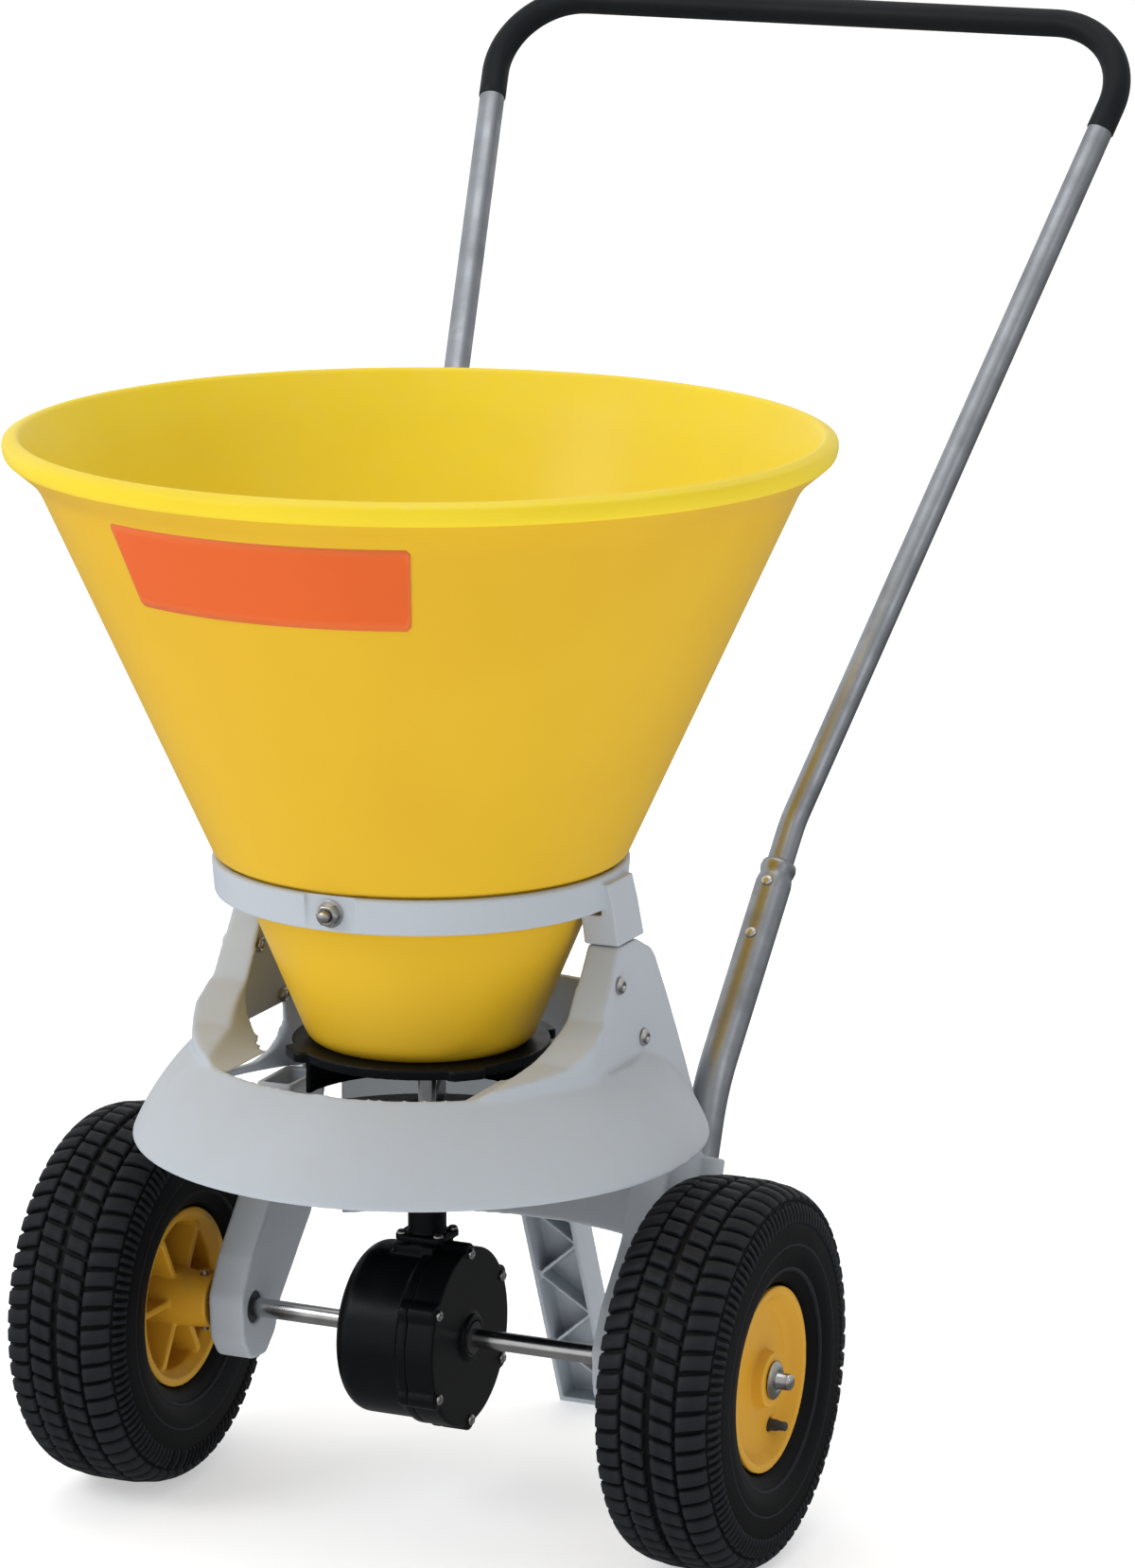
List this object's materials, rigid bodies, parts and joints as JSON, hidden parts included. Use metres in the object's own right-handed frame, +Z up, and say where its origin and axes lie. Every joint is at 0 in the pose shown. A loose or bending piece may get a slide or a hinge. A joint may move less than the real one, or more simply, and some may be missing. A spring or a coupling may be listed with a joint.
{
  "type": "garden spreader",
  "caption": "Walk-behind broadcast spreader: round hopper in a clamp ring on a moulded frame, wheel-driven spinner gearbox, pneumatic wheels, rear leg and bent push handle.",
  "frame": {"origin": "on the ground, under the middle of the bounding box", "axes": "+Z up, X along the wheel axle, -Y the throwing side, +Y the side it is pushed from"},
  "size_m": [0.544, 0.965, 0.9641],
  "materials": {
    "hopper_yellow": "moulded",
    "frame_grey": "moulded",
    "rim_yellow": "moulded",
    "tyre": "block tread",
    "black_plastic": "satin",
    "bush_plastic": "plain",
    "zinc_steel": "zinc plated",
    "axle_steel": "ground",
    "tube_steel": "galvanised",
    "grip_black": "soft PVC",
    "label_orange": "plain decal",
    "valve_rubber": "plain"
  },
  "bodies": {
    "chassis": {"hopper": "hopper_yellow", "hopper_label": "label_orange", "hopper_ring": "frame_grey", "ring_bolt": "zinc_steel", "ring_nut": "zinc_steel", "frame_shell": "frame_grey", "lug_bolts": "zinc_steel", "axle_leg_left": "frame_grey", "axle_leg_right": "frame_grey", "socket_bolts": "zinc_steel", "rear_leg": "frame_grey", "axle_bushes": "bush_plastic", "gearbox_housing": "black_plastic", "gearbox_cover": "black_plastic", "cover_screws": "zinc_steel", "gearbox_bushes": "bush_plastic", "gearbox_neck": "black_plastic", "neck_screws": "zinc_steel", "shaft_bushes": "bush_plastic", "outlet_plate": "black_plastic", "outlet_screws": "zinc_steel", "outlet_bush": "bush_plastic", "collar_ring": "zinc_steel", "sleeve_left": "tube_steel", "sleeve_right": "tube_steel", "handle_tube": "tube_steel", "handle_grip": "grip_black", "sleeve_rivets": "zinc_steel"},
    "axle_set": {"axle": "axle_steel", "washer_left": "zinc_steel", "washer_right": "zinc_steel", "rim_left": "rim_yellow", "valve_left": "valve_rubber", "tyre_left": "tyre", "hub_pin": "zinc_steel", "crown_gear": "bush_plastic", "crown_pin": "zinc_steel"},
    "free_wheel": {"rim_right": "rim_yellow", "valve_right": "valve_rubber", "tyre_right": "tyre", "hub_bushes": "bush_plastic"},
    "spinner": {"spinner_shaft": "axle_steel", "pinion": "axle_steel", "spinner_disc": "black_plastic", "agitator": "axle_steel"},
    "shutter": {"shutter_plate": "axle_steel", "dose_lever": "zinc_steel", "dose_knob": "black_plastic"}
  },
  "joints": [
    {"name": "axle_spin", "type": "hinge", "parent": "chassis", "child": "axle_set", "pos_m": [0, -0.2015, 0.13], "axis": [1, 0, 0], "continuous": true},
    {"name": "free_wheel_spin", "type": "hinge", "parent": "axle_set", "child": "free_wheel", "pos_m": [0.2156, -0.2015, 0.13], "axis": [1, 0, 0], "continuous": true},
    {"name": "spinner_spin", "type": "hinge", "parent": "chassis", "child": "spinner", "pos_m": [0, -0.2015, 0.26], "axis": [0, 0, 1], "continuous": true},
    {"name": "dose_lever_turn", "type": "hinge", "parent": "chassis", "child": "shutter", "pos_m": [0, -0.2015, 0.327], "axis": [0, 0, 1], "range_deg": [0, 30]}
  ],
  "couplings": [
    {"joint": "spinner_spin", "follows": "axle_spin", "ratio": 4}
  ]
}
